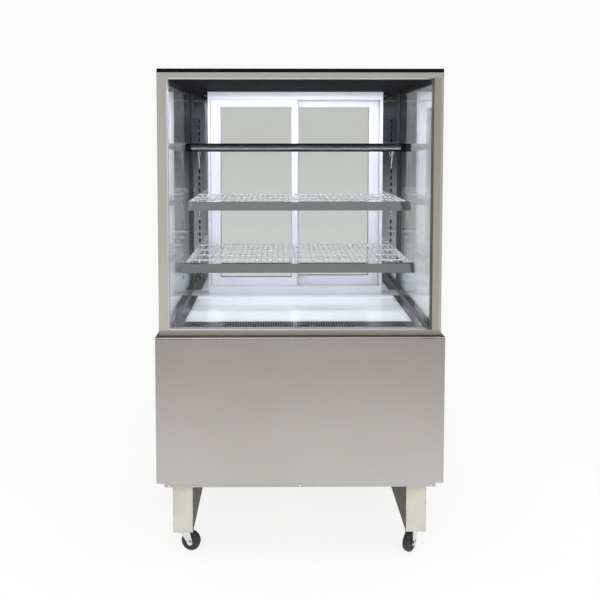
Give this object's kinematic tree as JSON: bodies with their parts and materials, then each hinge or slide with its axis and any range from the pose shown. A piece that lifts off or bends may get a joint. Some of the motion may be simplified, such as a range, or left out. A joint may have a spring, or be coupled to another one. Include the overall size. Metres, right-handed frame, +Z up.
{
  "type": "refrigerated food display",
  "caption": "Free-standing glass food display cabinet with wire shelves, sliding rear doors, a stainless-steel cooling base and side stands on castors.",
  "frame": {"origin": "on the floor, under the centre of the cabinet", "axes": "+Z up, +X to the customer's right, +Y from the front glass to the rear doors"},
  "size_m": [0.9, 0.675, 1.566],
  "materials": {
    "brushed_steel": "satin brushed stainless steel",
    "mirror_steel": "mirror-polished stainless steel",
    "galvanised_steel": "plain galvanised sheet",
    "zinc": "bright zinc plate",
    "stand_paint": "cream powder coat, lightly scuffed",
    "black_rubber": "black rubber",
    "black_lid": "black satin paint",
    "clear_glass": "clear toughened glass",
    "white_plastic": "white moulded plastic, smooth",
    "white_enamel": "bright white gloss paint",
    "bright_wire": "bright plated wire and plate",
    "aluminium": "plain aluminium",
    "opal": "opal diffuser",
    "black_plastic": "black moulded plastic",
    "grey_keys": "grey keys",
    "green_rocker": "translucent green rocker",
    "black_paint": "black gloss paint"
  },
  "bodies": {
    "cabinet": {"base_pan": "galvanised_steel", "bottom_ticket_strip": "mirror_steel", "bottom_wire_shelf": "bright_wire", "cable_gland": "black_plastic", "castor_top_plates": "zinc", "compressor": "black_paint", "condenser": "aluminium", "condenser_fan_motor": "black_paint", "condenser_shroud": "galvanised_steel", "control_panel": "brushed_steel", "controller": "black_plastic", "deck_pan": "white_enamel", "display_frame": "brushed_steel", "door_frame": "white_plastic", "drip_tray": "black_plastic", "evaporator": "aluminium", "evaporator_fan_motor": "black_paint", "fan_plate": "galvanised_steel", "front_glass": "clear_glass", "front_grille": "mirror_steel", "front_panel": "brushed_steel", "glazing_seals": "black_rubber", "insulated_tub": "white_plastic", "lamp_diffuser": "opal", "lamp_housing": "aluminium", "left_column": "mirror_steel", "left_side_glass": "clear_glass", "left_side_panel": "brushed_steel", "left_stand": "stand_paint", "lid": "black_lid", "middle_ticket_strip": "mirror_steel", "middle_wire_shelf": "bright_wire", "panel_screws": "zinc", "rear_louvred_panel": "brushed_steel", "right_column": "mirror_steel", "right_side_glass": "clear_glass", "right_side_panel": "brushed_steel", "right_stand": "stand_paint", "shelf_brackets": "bright_wire", "side_ledges": "mirror_steel", "switch_housing": "black_plastic", "top_ticket_strip": "mirror_steel", "top_wire_shelf": "bright_wire"},
    "left_door": {"left_door_sash": "white_plastic", "left_door_glass": "clear_glass"},
    "right_door": {"right_door_sash": "white_plastic", "right_door_glass": "clear_glass"},
    "evaporator_fan_rotor": {"evaporator_fan": "black_plastic"},
    "condenser_fan_rotor": {"condenser_fan": "black_plastic"},
    "switch_rocker": {"light_switch": "green_rocker"},
    "up_key": {"controller_up_key": "grey_keys"},
    "down_key": {"controller_down_key": "grey_keys"},
    "castor_front_left": {"castor_fork_front_left": "zinc"},
    "wheel_front_left": {"castor_wheel_front_left": "black_rubber"},
    "castor_front_right": {"castor_fork_front_right": "zinc"},
    "wheel_front_right": {"castor_wheel_front_right": "black_rubber"},
    "castor_rear_left": {"castor_fork_rear_left": "zinc"},
    "wheel_rear_left": {"castor_wheel_rear_left": "black_rubber"},
    "castor_rear_right": {"castor_fork_rear_right": "zinc"},
    "wheel_rear_right": {"castor_wheel_rear_right": "black_rubber"}
  },
  "joints": [
    {"name": "left_door_slide", "type": "slide", "parent": "cabinet", "child": "left_door", "axis": [1, 0, 0], "range_m": [0, 0.328]},
    {"name": "right_door_slide", "type": "slide", "parent": "cabinet", "child": "right_door", "axis": [-1, 0, 0], "range_m": [0, 0.328]},
    {"name": "castor_front_left_swivel", "type": "hinge", "parent": "cabinet", "child": "castor_front_left", "pos_m": [-0.375, -0.2355, 0.086], "axis": [0, 0, 1], "continuous": true},
    {"name": "wheel_front_left_roll", "type": "hinge", "parent": "castor_front_left", "child": "wheel_front_left", "pos_m": [-0.35544, -0.23966, 0.0315], "axis": [0.2079, 0.9781, 0], "continuous": true},
    {"name": "castor_front_right_swivel", "type": "hinge", "parent": "cabinet", "child": "castor_front_right", "pos_m": [0.375, -0.2355, 0.086], "axis": [0, 0, 1], "continuous": true},
    {"name": "wheel_front_right_roll", "type": "hinge", "parent": "castor_front_right", "child": "wheel_front_right", "pos_m": [0.36214, -0.25082, 0.0315], "axis": [0.766, -0.6428, 0], "continuous": true},
    {"name": "castor_rear_left_swivel", "type": "hinge", "parent": "cabinet", "child": "castor_rear_left", "pos_m": [-0.375, 0.2355, 0.086], "axis": [0, 0, 1], "continuous": true},
    {"name": "wheel_rear_left_roll", "type": "hinge", "parent": "castor_rear_left", "child": "wheel_rear_left", "pos_m": [-0.395, 0.2355, 0.0315], "axis": [0, -1, 0], "continuous": true},
    {"name": "castor_rear_right_swivel", "type": "hinge", "parent": "cabinet", "child": "castor_rear_right", "pos_m": [0.375, 0.2355, 0.086], "axis": [0, 0, 1], "continuous": true},
    {"name": "wheel_rear_right_roll", "type": "hinge", "parent": "castor_rear_right", "child": "wheel_rear_right", "pos_m": [0.35687, 0.22705, 0.0315], "axis": [0.4226, -0.9063, 0], "continuous": true},
    {"name": "evaporator_fan_spin", "type": "hinge", "parent": "cabinet", "child": "evaporator_fan_rotor", "pos_m": [0, 0.011, 0.6715], "axis": [0, 1, 0], "continuous": true},
    {"name": "condenser_fan_spin", "type": "hinge", "parent": "cabinet", "child": "condenser_fan_rotor", "pos_m": [0.19, -0.2155, 0.389], "axis": [0, 1, 0], "continuous": true},
    {"name": "light_switch_rock", "type": "hinge", "parent": "cabinet", "child": "switch_rocker", "pos_m": [-0.15, 0.3305, 0.671], "axis": [1, 0, 0], "range_deg": [-18, 0]},
    {"name": "up_key_press", "type": "slide", "parent": "cabinet", "child": "up_key", "axis": [0, -1, 0], "range_m": [0, 0.0008], "stiffness_N_per_m": 600, "springref_m": -0.001},
    {"name": "down_key_press", "type": "slide", "parent": "cabinet", "child": "down_key", "axis": [0, -1, 0], "range_m": [0, 0.0008], "stiffness_N_per_m": 600, "springref_m": -0.001}
  ]
}
